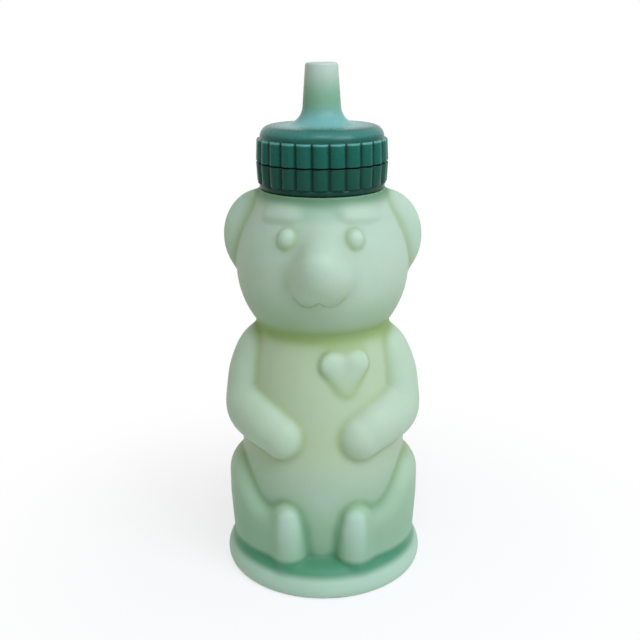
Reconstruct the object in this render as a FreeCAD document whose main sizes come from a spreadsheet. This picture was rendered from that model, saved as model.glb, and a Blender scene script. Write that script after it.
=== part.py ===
"""Honey bear squeeze bottle: a soft bear body, a rigid neck and a twist-open spout cap.

Lengths are millimetres. The origin is the middle of the base, +Z is up and the bear looks along -Y.
Angles round the bottle are counted from the front, in degrees, towards +X, the bear's left side.
"""

import FreeCAD
import Part
import Sketcher

import itertools
import math
import os

# Arm from the shoulder to the hand: angle, then shares of the torso's radius, of the way
# from the hand's height to the shoulder's, and of the arm's thickness.
ARM_SHARES = [
    (86, 0.54, 1.26, 0.60),
    (82, 0.72, 1.02, 0.92),
    (79, 0.83, 0.66, 1.05),
    (69, 0.88, 0.29, 1.12),
    (50, 0.89, 0.11, 1.08),
    (30, 0.89, 0.01, 0.91),
]
# Leg from the hip to the foot: angle, then shares of the torso's radius, of the thigh's
# middle height, of its thickness and of its half height.
LEG_SHARES = [
    (132, 0.50, 1.00, 0.60, 0.66),
    (110, 0.73, 1.00, 0.92, 0.92),
    (86, 0.82, 1.00, 1.00, 1.00),
    (58, 0.80, 0.92, 0.93, 0.91),
    (36, 0.76, 0.80, 0.82, 0.78),
    (20, 0.60, 0.70, 0.55, 0.60),
]
HAND_SHARE = 1.03
COVE_SHARE = 0.72
EYE_ANGLE = 24.5
BROW_ANGLE = 30.0
BROW_SLOPE = 10.0
EAR_BACK_SHARE = 0.3
SNOUT_SET_BACK_SHARE = 0.87
BRIDGE_SET_BACK_SHARE = 0.93
SNOUT_TILT = 12.0
BRIDGE_TILT = 36
HEART_ANGLE = 20.4
HEART_TILT = 6.0
HEART_TOP_SHARE = 0.22
HEART_TIP_SHARE = 0.64
HEART_LOBE_SHARE = 0.52
HEART_SIDE_SHARE = 0.95
HEART_SINK_SHARE = 0.5
# Grip lobe: the round at its far end as a share of its height there, and the plain ring under the
# collar's lobes as a share of their height.
LOBE_END_SHARE = 0.6
FOOT_STEP_SHARE = 0.25

# How an edge is tested for lying on a piece: the number of spots along it, and how near each must be.
EDGE_SPOTS = 5
EDGE_TOLERANCE = 0.001

doc = FreeCAD.newDocument("honey_bear_bottle")
sheet = doc.addObject("Spreadsheet::Sheet", "Sizes")
sheet_rows = itertools.count(1)


class Size:
    """A length worked out from the sheet: its number, and the expression that binds it."""

    def __init__(self, number, text):
        self.number = float(number)
        self.text = text

    def __add__(self, other):
        return Size(self.number + as_size(other).number, f"({self.text} + {as_size(other).text})")

    def __sub__(self, other):
        return Size(self.number - as_size(other).number, f"({self.text} - {as_size(other).text})")

    def __mul__(self, other):
        return Size(self.number * as_size(other).number, f"({self.text} * {as_size(other).text})")

    def __truediv__(self, other):
        return Size(self.number / as_size(other).number, f"({self.text} / {as_size(other).text})")

    def __rsub__(self, other):
        return as_size(other) - self

    def __neg__(self):
        return Size(-self.number, f"(-1 * {self.text})")

    __radd__ = __add__
    __rmul__ = __mul__


def as_size(value):
    """A plain factor as a Size, and a Size as it is."""
    return value if isinstance(value, Size) else Size(value, repr(float(value)))


def root(size):
    """The square root of a Size."""
    return Size(math.sqrt(size.number), f"sqrt({size.text})")


def slant(across, along):
    """The straight way between two places that lie across and along from each other."""
    return root(across * across + along * along)


def leg_of(slope, along):
    """The other leg of a right triangle, from its slope and one leg."""
    return root(slope * slope - along * along)


def size(alias, number, meaning):
    """Writes a driving dimension to the sheet and returns it."""
    row = next(sheet_rows)
    sheet.set(f"A{row}", meaning)
    sheet.set(f"B{row}", str(number))
    sheet.setAlias(f"B{row}", alias)
    sheet.recompute()
    return Size(sheet.get(alias), f"Sizes.{alias}")


# Driving dimensions.
rim_radius = size("rim_radius", 35.5, "outside radius of the base rim")
rim_round = size("rim_round", 2.4, "round of the base rim, half its height")
cove_rise = size("cove_rise", 7.6, "height of the hollow round between the rim and the belly")
torso_radius = size("torso_radius", 28.5, "torso at its widest")
torso_z = size("torso_z", 42.0, "height of the torso's widest place")
neck_z = size("neck_z", 88.0, "height of the crease between torso and head")
head_radius = size("head_radius", 28.8, "head at its widest")
head_arc = size("head_arc", 31.0, "round of the head's side")
head_z = size("head_z", 108.5, "height of the head's widest place")
body_wall = size("body_wall", 2.8, "soft wall of the body")
floor_thickness = size("floor_thickness", 3.6, "bottom of the body")
ear_radius = size("ear_radius", 13.2, "ear, sideways")
ear_rise = size("ear_rise", 15.8, "ear, half its height")
ear_depth = size("ear_depth", 6.6, "ear, half its thickness")
ear_spread = size("ear_spread", 20.0, "ear's middle from the bottle's middle plane")
ear_lift = size("ear_lift", 8.9, "ear's middle above the head's middle")
snout_radius = size("snout_radius", 10.4, "snout, half its width")
snout_reach = size("snout_reach", 12.8, "snout, half its length")
snout_rise = size("snout_rise", 9.4, "snout, half its height")
snout_lift = size("snout_lift", 2.4, "snout's middle above the head's middle")
bridge_radius = size("bridge_radius", 5.2, "bridge of the nose, half its width")
bridge_reach = size("bridge_reach", 9.0, "bridge of the nose, half its length")
bridge_depth = size("bridge_depth", 4.2, "bridge of the nose, half its thickness")
bridge_lift = size("bridge_lift", 9.2, "bridge's middle above the head's middle")
eye_radius = size("eye_radius", 3.3, "bead of the eye")
eye_lift = size("eye_lift", 13.3, "eye above the head's middle")
eye_depth = size("eye_depth", 1.2, "middle of the eye's bead under the face")
brow_length = size("brow_length", 8.6, "brow ridge, half its length")
brow_radius = size("brow_radius", 3.2, "brow ridge, half its height")
brow_depth = size("brow_depth", 3.8, "brow ridge, half its thickness")
brow_sink = size("brow_sink", 1.2, "middle of the brow ridge under the face")
brow_lift = size("brow_lift", 21.4, "brow above the head's middle")
arm_radius = size("arm_radius", 8.7, "arm, half its thickness")
shoulder_z = size("shoulder_z", 80.0, "height of the shoulder")
hand_z = size("hand_z", 54.6, "height of the hand")
leg_radius = size("leg_radius", 10.0, "thigh, half its thickness")
leg_rise = size("leg_rise", 18.6, "thigh, half its height")
leg_z = size("leg_z", 22.6, "height of the thigh's middle")
foot_radius = size("foot_radius", 5.2, "foot, half its width")
foot_top = size("foot_top", 31.8, "top of the foot")
foot_spread = size("foot_spread", 10.9, "foot's middle from the bottle's middle plane")
foot_reach = size("foot_reach", 24.0, "foot's middle in front of the bottle's axis")
heart_width = size("heart_width", 16.8, "heart on the chest, across")
heart_height = size("heart_height", 16.6, "heart on the chest, from notch level to tip")
heart_z = size("heart_z", 77.4, "height of the heart's middle")
heart_proud = size("heart_proud", 2.3, "heart above the chest")
heart_round = size("heart_round", 2.2, "round of the heart's edge")
boss_flare = size("boss_flare", 1.8, "hollow round from the head to the soft boss under the cap")
boss_height = size("boss_height", 0.9, "straight wall of the boss above its flare")
bridge_blend = size("bridge_blend", 3.0, "hollow round between the bridge and the snout")
snout_blend = size("snout_blend", 3.4, "hollow round where the snout meets the face")
brow_blend = size("brow_blend", 1.2, "hollow round round a brow")
eye_blend = size("eye_blend", 0.6, "hollow round round an eye")
ear_blend = size("ear_blend", 1.8, "hollow round where an ear meets the head")
leg_blend = size("leg_blend", 2.0, "hollow round where a leg meets the belly")
foot_blend = size("foot_blend", 1.2, "hollow round beside a foot")
mouth_radius = size("mouth_radius", 15.6, "bore of the neck")
neck_wall = size("neck_wall", 1.8, "wall of the neck")
neck_height = size("neck_height", 5.8, "neck above the land")
neck_flange = size("neck_flange", 1.2, "flange beyond the neck, and its thickness")
land_margin = size("land_margin", 1.7, "land beyond the flange, the soft wall round it")
sleeve_depth = size("sleeve_depth", 9.0, "neck's sleeve inside the head")
bead_height = size("bead_height", 0.7, "holding bead on the sleeve")
bead_width = size("bead_width", 2.8, "foot of the holding bead along the sleeve")
thread_room = size("thread_room", 1.5, "between the neck and the collar's bore, for the thread")
collar_wall = size("collar_wall", 1.2, "collar's wall at the floor of its grip grooves")
collar_gap = size("collar_gap", 0.4, "between the land and the collar")
collar_foot = size("collar_foot", 1.6, "plain ring under the collar's grip")
deck_thickness = size("deck_thickness", 1.6, "collar's deck")
gasket_thickness = size("gasket_thickness", 1.2, "neck gasket")
gasket_inset = size("gasket_inset", 2.0, "neck gasket inside the neck's bore")
gasket_margin = size("gasket_margin", 0.4, "between the gasket and the collar's bore")
cap_room = size("cap_room", 0.6, "between the ears and the cap")
seam_gap = size("seam_gap", 0.4, "between the collar and the spout cap")
lobe_count = size("lobe_count", 24, "grip lobes round the cap")
lobe_height = size("lobe_height", 1.4, "grip lobe above the groove floor, at the seam")
lobe_draft = size("lobe_draft", 0.35, "grip lobe lost to draft at its far end")
lobe_length = size("lobe_length", 7.3, "grip lobe of the spout cap")
groove_width = size("groove_width", 0.35, "floor of a grip groove")
skirt_wall = size("skirt_wall", 1.9, "spout cap's skirt at the groove floors")
spigot_gap = size("spigot_gap", 0.6, "between the collar's spigot and the skirt")
spigot_wall = size("spigot_wall", 1.7, "collar's spigot")
spigot_height = size("spigot_height", 8.0, "collar's spigot above its deck")
seal_section = size("seal_section", 1.4, "spout seal's round section")
seal_room = size("seal_room", 0.1, "between the spout seal and its neighbours")
seal_lift = size("seal_lift", 1.4, "seal's groove above the skirt's edge")
dome_height = size("dome_height", 11.1, "spout cap from its lower edge to its top deck")
dome_wall = size("dome_wall", 2.2, "wall of the dome")
dome_round = size("dome_round", 4.0, "round of the dome's shoulder")
spout_height = size("spout_height", 19.4, "spout above the top deck")
spout_tip = size("spout_tip", 5.2, "spout's radius at its tip")
spout_root = size("spout_root", 6.45, "spout's radius above its flare")
spout_flare = size("spout_flare", 6.0, "hollow round from the spout to the deck")
deck_rise = size("deck_rise", 0.4, "rise of the top deck from its shoulder to the spout")
tip_round = size("tip_round", 1.0, "round of the spout's lip")
spout_bore = size("spout_bore", 3.4, "spout's straight bore")
seat_radius = size("seat_radius", 4.7, "seat for the stopper under the spout")
seat_depth = size("seat_depth", 3.6, "seat's straight wall above the ceiling")
seat_cone = size("seat_cone", 1.4, "cone from the seat to the bore")
plug_room = size("plug_room", 0.08, "between the stopper's plug and its seat")
plug_height = size("plug_height", 2.4, "stopper's plug inside the seat")
stem_radius = size("stem_radius", 2.3, "stopper's stem")
stopper_radius = size("stopper_radius", 11.4, "stopper's plate in the collar's deck")
stopper_lip = size("stopper_lip", 1.8, "stopper's lip under the deck")
hub_radius = size("hub_radius", 4.2, "middle of the stopper's plate")
window_reach = size("window_reach", 5.0, "flow windows, along the radius")
window_count = size("window_count", 3, "flow windows in the stopper's plate")
spoke_width = size("spoke_width", 3.0, "spoke between two flow windows")
overrun = size("overrun", 2.0, "how far a cut runs past what it cuts")
zero = Size(0, "0")


def bind(feature, **sizes):
    """Binds a feature's properties to the sheet."""
    for name, size in sizes.items():
        feature.setExpression(name, size.text)


def place(feature, x, y, z, rotation=FreeCAD.Rotation()):
    """Turns a feature and binds its place to the sheet."""
    feature.Placement = FreeCAD.Placement(FreeCAD.Vector(x.number, y.number, z.number), rotation)
    for axis, size in (("x", x), ("y", y), ("z", z)):
        feature.setExpression(f"Placement.Base.{axis}", size.text)


def around(angle, reach):
    """The x and y of a place at an angle round the bottle, at a reach from its axis."""
    turn = math.radians(angle)
    return reach * math.sin(turn), reach * -math.cos(turn)


def primitive(kind, name, **sizes):
    feature = doc.addObject(f"Part::{kind}", name)
    bind(feature, **sizes)
    return feature


def origin_plane(body, role):
    return next(f for f in body.Origin.OriginFeatures if f.Role == role)


def outline_sketch(body, name, role, corners, rounds=None, lift=None, spin=0):
    """A closed sketch through corners, pairs of Sizes. rounds gives, for a corner's number, the radius
    of the arc that leaves it, and +1 or -1 for an arc that turns left or right. lift raises the sketch
    from its plane and spin turns it there, in degrees."""
    rounds = rounds or {}
    sketch = body.newObject("Sketcher::SketchObject", name)
    sketch.AttachmentSupport = [(origin_plane(body, role), "")]
    sketch.MapMode = "FlatFace"
    sketch.AttachmentOffset = FreeCAD.Placement(FreeCAD.Vector(), FreeCAD.Rotation(spin, 0, 0))
    if lift is not None:
        sketch.setExpression("AttachmentOffset.Base.z", lift.text)
    points = [FreeCAD.Vector(x.number, y.number, 0) for x, y in corners]
    starts, ends = [], []
    for i, start in enumerate(points):
        end = points[(i + 1) % len(points)]
        if i not in rounds:
            sketch.addGeometry(Part.LineSegment(start, end))
            starts.append((i, 1))
            ends.append((i, 2))
            continue
        radius, turn = rounds[i]
        chord = end - start
        side = FreeCAD.Vector(-chord.y, chord.x, 0).normalize() * turn
        centre = (start + end) * 0.5 + side * math.sqrt(radius.number**2 - (chord.Length / 2) ** 2)
        first, last = (start, end) if turn > 0 else (end, start)
        angles = [math.atan2((p - centre).y, (p - centre).x) for p in (first, last)]
        circle = Part.Circle(centre, FreeCAD.Vector(0, 0, 1), radius.number)
        sketch.addGeometry(Part.ArcOfCircle(circle, angles[0], angles[1]))
        starts.append((i, 1 if turn > 0 else 2))
        ends.append((i, 2 if turn > 0 else 1))
    for i in range(len(points)):
        sketch.addConstraint(Sketcher.Constraint("Coincident", *ends[i - 1], *starts[i]))
    for i, corner in enumerate(corners):
        for kind, size, axis in (("DistanceX", corner[0], -2), ("DistanceY", corner[1], -1)):
            if size.number == 0:
                sketch.addConstraint(Sketcher.Constraint("PointOnObject", *starts[i], axis))
                continue
            ends_at = (*starts[i], -1, 1) if size.number < 0 else (-1, 1, *starts[i])
            number = sketch.addConstraint(Sketcher.Constraint(kind, *ends_at, abs(size.number)))
            sketch.setExpression(f"Constraints[{number}]", (-size if size.number < 0 else size).text)
    for i, (radius, turn) in rounds.items():
        number = sketch.addConstraint(Sketcher.Constraint("Radius", i, radius.number))
        sketch.setExpression(f"Constraints[{number}]", radius.text)
    return sketch


def turned(label, corners, rounds=None):
    """A body turned about the bottle's axis from an outline of (radius, height) corners."""
    body = doc.addObject("PartDesign::Body", label)
    sketch = outline_sketch(body, f"{label}_outline", "XZ_Plane", corners, rounds)
    revolution = body.newObject("PartDesign::Revolution", f"{label}_turned")
    revolution.Profile = sketch
    revolution.ReferenceAxis = (sketch, ["V_Axis"])
    revolution.Angle = 360
    doc.recompute()
    return body


def cut_round(body, name, corners, rounds, top, depth, count, spin=0):
    """Cuts an upright pocket, down from a height, and repeats it round the bottle's axis."""
    sketch = outline_sketch(body, f"{name}_outline", "XY_Plane", corners, rounds, top, spin)
    pocket = body.newObject("PartDesign::Pocket", name)
    pocket.Profile = sketch
    bind(pocket, Length=depth)
    doc.recompute()
    pattern = body.newObject("PartDesign::PolarPattern", f"{name}_pattern")
    pattern.Originals = [pocket]
    pattern.Axis = (sketch, ["N_Axis"])
    pattern.Angle = 360
    bind(pattern, Occurrences=count)
    body.Tip = pattern
    doc.recompute()


def head_at(z):
    """The head's radius at a height: its side is one arc, widest at head_z."""
    return head_radius - head_arc + leg_of(head_arc, z - head_z)


# The torso's side is one arc too, widest at torso_z, that meets the head's in the neck crease.
crease_radius = head_at(neck_z)
taper = torso_radius - crease_radius
torso_arc = ((neck_z - torso_z) * (neck_z - torso_z) + taper * taper) / (taper * 2)


def torso_at(z):
    """The torso's radius at a height."""
    return torso_radius - torso_arc + leg_of(torso_arc, z - torso_z)


# Heights and radii that several pieces share.
neck_radius = mouth_radius + neck_wall
flange_radius = neck_radius + neck_flange
land_radius = flange_radius + land_margin

# The boss grows out of the head in a hollow round. It leaves the head's arc at flare_radius, square to
# the arc's own radius there, and runs into the boss's upright wall.
flare_radius = land_radius + boss_flare
flare_out = (flare_radius + head_arc - head_radius) / head_arc
flare_up = root(1 - flare_out * flare_out)
flare_z = head_z + head_arc * flare_up
flare_round = boss_flare * (1 + flare_out) / (flare_up * flare_up)
boss_z = flare_z + boss_flare * (1 + flare_out) / flare_up

land_z = boss_z + boss_height
flange_z = land_z - neck_flange
sleeve_z = land_z - sleeve_depth
bead_z = (sleeve_z + flange_z) / 2
lip_z = land_z + neck_height
collar_z = land_z + collar_gap
deck_z = lip_z + gasket_thickness
collar_top = deck_z + deck_thickness
skirt_z = collar_top + seam_gap
dome_top = skirt_z + dome_height
ceiling_z = dome_top - dome_wall
tip_z = dome_top + spout_height
collar_bore = neck_radius + thread_room
groove_floor = collar_bore + collar_wall
lobe_radius = groove_floor + lobe_height
skirt_bore = groove_floor - skirt_wall
spigot_radius = skirt_bore - spigot_gap
seal_radius = spigot_radius + seal_room + seal_section / 2


# Limbs are lofts through round sections, each square to the line of their middles.
def loft_limb(name, middles, sections):
    """A limb through its sections; middles are (x, y, z) Sizes and sections give the radii."""
    spots = [FreeCAD.Vector(x.number, y.number, z.number) for x, y, z in middles]
    rings = []
    for i, (middle, (wide, tall)) in enumerate(zip(middles, sections)):
        ahead = spots[min(i + 1, len(spots) - 1)] - spots[max(i - 1, 0)]
        upright = FreeCAD.Vector(0, 0, 1)
        if wide.text == tall.text:
            ring = primitive("Circle", f"{name}_ring_{i}", Radius=wide)
        else:
            ahead.z = 0
            ring = primitive("Ellipse", f"{name}_ring_{i}", MajorRadius=tall, MinorRadius=wide)
        place(ring, *middle, FreeCAD.Rotation(upright, FreeCAD.Vector(), ahead.normalize(), "ZYX"))
        rings.append(ring)
    limb = doc.addObject("Part::Loft", name)
    limb.Sections = rings
    limb.Solid = True
    return limb


def mirrored(feature):
    """The same feature on the bear's other side."""
    other = doc.addObject("Part::Mirroring", f"{feature.Name}_mirrored")
    other.Source = feature
    other.Normal = FreeCAD.Vector(1, 0, 0)
    return other


def make_arm():
    middles, sections = [], []
    for angle, reach_share, height_share, girth_share in ARM_SHARES:
        x, y = around(angle, torso_radius * reach_share)
        middles.append((x, y, hand_z + (shoulder_z - hand_z) * height_share))
        sections.append((arm_radius * girth_share,) * 2)
    arm = loft_limb("arm", middles, sections)
    hand = primitive("Sphere", "hand", Radius=sections[-1][0] * HAND_SHARE)
    place(hand, *middles[-1])
    return [arm, hand]


def make_leg():
    middles, sections = [], []
    for angle, reach_share, height_share, girth_share, rise_share in LEG_SHARES:
        x, y = around(angle, torso_radius * reach_share)
        middles.append((x, y, leg_z * height_share))
        sections.append((leg_radius * girth_share, leg_rise * rise_share))
    return loft_limb("leg", middles, sections)


def make_foot():
    """An upright bar with a round top, turned about its own axis."""
    straight = foot_top - foot_radius
    corners = [(zero, rim_round), (foot_radius, rim_round), (foot_radius, straight), (zero, foot_top)]
    bar = turned("foot", corners, {2: (foot_radius, 1)})
    place(bar, foot_spread, -foot_reach, zero)
    return bar


def on_face(angle, lift, depth):
    """A place under the head's surface, at an angle and a height above the head's middle."""
    x, y = around(angle, head_at(head_z + lift) - depth)
    return x, y, head_z + lift


def make_brow():
    ridge = primitive("Ellipsoid", "brow", Radius1=brow_radius, Radius2=brow_length, Radius3=brow_depth)
    slope = FreeCAD.Rotation(FreeCAD.Vector(0, 1, 0), BROW_SLOPE)
    turn = FreeCAD.Rotation(FreeCAD.Vector(0, 0, 1), BROW_ANGLE)
    place(ridge, *on_face(BROW_ANGLE, brow_lift, brow_sink), turn.multiply(slope))
    return ridge


def make_eye():
    bead = primitive("Sphere", "eye", Radius=eye_radius)
    place(bead, *on_face(EYE_ANGLE, eye_lift, eye_depth))
    return bead


def make_ear():
    ear = primitive("Ellipsoid", "ear", Radius1=ear_rise, Radius2=ear_radius, Radius3=ear_depth)
    place(ear, ear_spread, ear_depth * EAR_BACK_SHARE, head_z + ear_lift)
    return ear


def make_bridge():
    bridge = primitive("Ellipsoid", "bridge", Radius1=bridge_reach, Radius2=bridge_radius, Radius3=bridge_depth)
    tilt = FreeCAD.Rotation(FreeCAD.Vector(-1, 0, 0), BRIDGE_TILT)
    place(bridge, zero, -(head_radius * BRIDGE_SET_BACK_SHARE), head_z + bridge_lift, tilt)
    return bridge


def make_snout():
    snout = primitive("Ellipsoid", "snout", Radius1=snout_rise, Radius2=snout_radius, Radius3=snout_reach)
    tilt = FreeCAD.Rotation(FreeCAD.Vector(-1, 0, 0), SNOUT_TILT)
    place(snout, zero, -(head_radius * SNOUT_SET_BACK_SHARE), head_z + snout_lift, tilt)
    return snout


def make_heart():
    """A puffed heart: two round lobes and two full sides that meet in the tip."""
    half = heart_width / 2
    top = heart_height * HEART_TOP_SHARE
    tip = heart_height * HEART_TIP_SHARE
    lobe = slant(half, top) * HEART_LOBE_SHARE
    side = slant(half, tip) * HEART_SIDE_SHARE
    body = doc.addObject("PartDesign::Body", "heart")
    corners = [(zero, top), (-half, zero), (zero, -tip), (half, zero)]
    rounds = {0: (lobe, 1), 1: (side, 1), 2: (side, 1), 3: (lobe, 1)}
    sketch = outline_sketch(body, "heart_outline", "XZ_Plane", corners, rounds)
    pad = body.newObject("PartDesign::Pad", "heart_pad")
    pad.Profile = sketch
    bind(pad, Length=heart_proud + heart_proud * HEART_SINK_SHARE)
    doc.recompute()
    fillet = body.newObject("PartDesign::Fillet", "heart_edge")
    front = min(range(len(pad.Shape.Faces)), key=lambda n: pad.Shape.Faces[n].CenterOfMass.y)
    fillet.Base = (pad, [f"Face{front + 1}"])
    bind(fillet, Radius=heart_round)
    x, y = around(HEART_ANGLE, torso_at(heart_z) - heart_proud * HEART_SINK_SHARE)
    turn = FreeCAD.Rotation(FreeCAD.Vector(0, 0, 1), HEART_ANGLE)
    lean = FreeCAD.Rotation(FreeCAD.Vector(1, 0, 0), -HEART_TILT)
    place(body, x, y, heart_z, turn.multiply(lean))
    return body


def make_trunk():
    """Base, torso and head in one turned form: rim, cove, the belly's arc, the head's arc and its boss."""
    crest = rim_radius - rim_round
    cove_z = rim_round * 2 + cove_rise
    cove_radius = slant(crest - torso_at(cove_z), cove_rise) * COVE_SHARE
    return turned("trunk", [
        (zero, zero),
        (crest, zero),
        (rim_radius, rim_round),
        (crest, rim_round * 2),
        (torso_at(cove_z), cove_z),
        (crease_radius, neck_z),
        (flare_radius, flare_z),
        (land_radius, boss_z),
        (land_radius, land_z),
        (zero, land_z),
    ], {
        1: (rim_round, 1),
        2: (rim_round, 1),
        3: (cove_radius, -1),
        4: (torso_arc, 1),
        5: (head_arc, 1),
        6: (flare_round, -1),
    })


def make_hollow():
    """The honey's room, the seat of the neck's sleeve and flange, and the room under the cap."""
    room_top = head_radius - head_arc + leg_of(head_arc - body_wall, sleeve_z - head_z)
    cap_clear = lobe_radius + cap_room
    return turned("hollow", [
        (zero, floor_thickness),
        (torso_at(floor_thickness) - body_wall, floor_thickness),
        (crease_radius - body_wall, neck_z),
        (room_top, sleeve_z),
        (neck_radius, sleeve_z),
        (neck_radius, bead_z - bead_width / 2),
        (neck_radius + bead_height, bead_z),
        (neck_radius, bead_z + bead_width / 2),
        (neck_radius, flange_z),
        (flange_radius, flange_z),
        (flange_radius, land_z),
        (cap_clear, land_z),
        (cap_clear, tip_z),
        (zero, tip_z),
    ], {1: (torso_arc - body_wall, 1), 2: (head_arc - body_wall, 1)})


def joined(kind, name, base, tool):
    """One solid made of two, by Fuse or Cut."""
    feature = doc.addObject(f"Part::{kind}", name)
    feature.Base = base
    feature.Tool = tool
    return feature


def lies_on(edge, piece):
    """Whether an edge runs along a piece's surface or through it."""
    if edge.Degenerated:
        return False
    spots = edge.discretize(Number=EDGE_SPOTS)
    return all(Part.Vertex(spot).distToShape(piece.Shape)[0] < EDGE_TOLERANCE for spot in spots)


def blended(base, tool, radius):
    """Two pieces as one solid, with a hollow round where they meet. Where a change of size leaves no room
    for the round, they meet in a plain crease."""
    fused = joined("Fuse", f"with_{tool.Name}", base, tool)
    doc.recompute()
    edges = enumerate(fused.Shape.Edges, start=1)
    numbers = [n for n, edge in edges if lies_on(edge, tool) and lies_on(edge, base)]
    blend = doc.addObject("Part::Fillet", f"{tool.Name}_blend")
    blend.Base = fused
    blend.Edges = [(n, radius.number, radius.number) for n in numbers]
    doc.recompute()
    if blend.isValid() and blend.Shape.isValid() and len(blend.Shape.Solids) == 1:
        return blend
    print(f"{tool.Name} meets its neighbour in a plain crease")
    doc.removeObject(blend.Name)
    return fused


def make_bear_body():
    """The soft bear: everything it shows outside, joined piece by piece, less its hollow."""
    bear = make_trunk()
    arms = make_arm()
    for piece in [make_heart(), *arms, *[mirrored(piece) for piece in arms]]:
        bear = joined("Fuse", f"with_{piece.Name}", bear, piece)
    doc.recompute()
    bear = blended(bear, blended(make_snout(), make_bridge(), bridge_blend), snout_blend)
    pairs = [(make_brow(), brow_blend), (make_eye(), eye_blend), (make_ear(), ear_blend),
             (make_leg(), leg_blend), (make_foot(), foot_blend)]
    for piece, radius in pairs:
        bear = blended(bear, piece, radius)
        bear = blended(bear, mirrored(piece), radius)
    return joined("Cut", "bear_body", bear, make_hollow())


def make_neck_insert():
    """The rigid neck: a barbed sleeve in the head, a flange let into the land, and the threaded part."""
    return turned("neck_insert", [
        (mouth_radius, sleeve_z),
        (neck_radius, sleeve_z),
        (neck_radius, bead_z - bead_width / 2),
        (neck_radius + bead_height, bead_z),
        (neck_radius, bead_z + bead_width / 2),
        (neck_radius, flange_z),
        (flange_radius, flange_z),
        (flange_radius, land_z),
        (neck_radius, land_z),
        (neck_radius, lip_z),
        (mouth_radius, lip_z),
    ])


def make_neck_gasket():
    outer = collar_bore - gasket_margin
    inner = mouth_radius - gasket_inset
    return turned("neck_gasket", [(inner, lip_z), (outer, lip_z), (outer, deck_z), (inner, deck_z)])


def cut_grip(body, top, bottom):
    """Cuts the grip grooves between two heights, so that a lobe with round shoulders faces the front."""
    half = groove_width / 2
    far = lobe_radius + overrun
    corners = [
        (groove_floor, -half),
        (lobe_radius, -(half + lobe_height)),
        (far, -(half + lobe_height)),
        (far, half + lobe_height),
        (lobe_radius, half + lobe_height),
        (groove_floor, half),
    ]
    rounds = {0: (lobe_height, -1), 4: (lobe_height, -1)}
    half_pitch = 180 / lobe_count.number
    cut_round(body, f"{body.Name}_grooves", corners, rounds, top, top - bottom, lobe_count, half_pitch)


def make_screw_collar():
    """The lower grip ring: the neck's socket below its deck, the spout cap's spigot above it."""
    drafted = lobe_radius - lobe_draft
    lobe_round = (lobe_height - lobe_draft) * LOBE_END_SHARE
    foot_top_z = collar_z + collar_foot
    foot_ring = groove_floor + lobe_height * FOOT_STEP_SHARE
    spigot_top = collar_top + spigot_height
    collar = turned("screw_collar", [
        (collar_bore, collar_z),
        (foot_ring, collar_z),
        (foot_ring, foot_top_z),
        (drafted - lobe_round, foot_top_z),
        (drafted, foot_top_z + lobe_round),
        (lobe_radius, collar_top),
        (spigot_radius, collar_top),
        (spigot_radius, spigot_top),
        (spigot_radius - spigot_wall, spigot_top),
        (spigot_radius - spigot_wall, collar_top),
        (stopper_radius, collar_top),
        (stopper_radius, deck_z),
        (collar_bore, deck_z),
    ], {3: (lobe_round, 1)})
    cut_grip(collar, collar_top + overrun, foot_top_z)
    return collar


def make_stopper():
    """The plate in the collar's deck that carries the plug on a stem, with windows for the flow."""
    plug_radius = seat_radius - plug_room
    plug_top = ceiling_z + plug_height
    lip_radius = stopper_radius + stopper_lip
    stopper = turned("stopper", [
        (zero, lip_z),
        (lip_radius, lip_z),
        (lip_radius, deck_z),
        (stopper_radius, deck_z),
        (stopper_radius, collar_top),
        (stem_radius, collar_top),
        (stem_radius, ceiling_z - (plug_radius - stem_radius)),
        (plug_radius, ceiling_z),
        (plug_radius, plug_top),
        (stem_radius, plug_top + seat_cone),
        (zero, plug_top + seat_cone),
    ])
    half_span = math.pi / window_count.number
    outer = hub_radius + window_reach
    cosine = math.cos(half_span)
    sine = math.sin(half_span)
    inset = spoke_width / (2 * sine)
    corners = [
        (inset + hub_radius * cosine, -(hub_radius * sine)),
        (inset + outer * cosine, -(outer * sine)),
        (inset + outer * cosine, outer * sine),
        (inset + hub_radius * cosine, hub_radius * sine),
    ]
    top = collar_top + overrun
    cut_round(stopper, "flow_windows", corners, {1: (outer, 1), 3: (hub_radius, -1)}, top,
              top - lip_z + overrun, window_count)
    return stopper


def make_spout_seal():
    ring = primitive("Torus", "spout_seal", Radius1=seal_radius, Radius2=seal_section / 2)
    place(ring, zero, zero, skirt_z + seal_lift + seal_room + seal_section / 2)
    return ring


def make_spout_cap():
    """The upper grip ring with its dome and spout; a groove in its skirt holds the seal."""
    drafted = lobe_radius - lobe_draft
    lobe_round = (lobe_height - lobe_draft) * LOBE_END_SHARE
    lobe_top = skirt_z + lobe_length
    groove_bottom = skirt_z + seal_lift
    groove_top = groove_bottom + seal_section + seal_room * 2
    seal_floor = seal_radius + seal_section / 2 + seal_room
    shoulder_in = dome_round - dome_wall
    cap = turned("spout_cap", [
        (skirt_bore, skirt_z),
        (lobe_radius, skirt_z),
        (drafted, lobe_top - lobe_round),
        (drafted - lobe_round, lobe_top),
        (groove_floor, lobe_top),
        (groove_floor, dome_top - dome_round),
        (groove_floor - dome_round, dome_top),
        (spout_root + spout_flare, dome_top + deck_rise),
        (spout_root, dome_top + deck_rise + spout_flare),
        (spout_tip, tip_z - tip_round),
        (spout_tip - tip_round, tip_z),
        (spout_bore, tip_z),
        (spout_bore, ceiling_z + seat_depth + seat_cone),
        (seat_radius, ceiling_z + seat_depth),
        (seat_radius, ceiling_z),
        (skirt_bore - shoulder_in, ceiling_z),
        (skirt_bore, ceiling_z - shoulder_in),
        (skirt_bore, groove_top),
        (seal_floor, groove_top),
        (seal_floor, groove_bottom),
        (skirt_bore, groove_bottom),
    ], {
        2: (lobe_round, 1),
        5: (dome_round, 1),
        7: (spout_flare, -1),
        9: (tip_round, 1),
        15: (shoulder_in, -1),
    })
    cut_grip(cap, lobe_top + overrun, skirt_z - overrun)
    return cap


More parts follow.
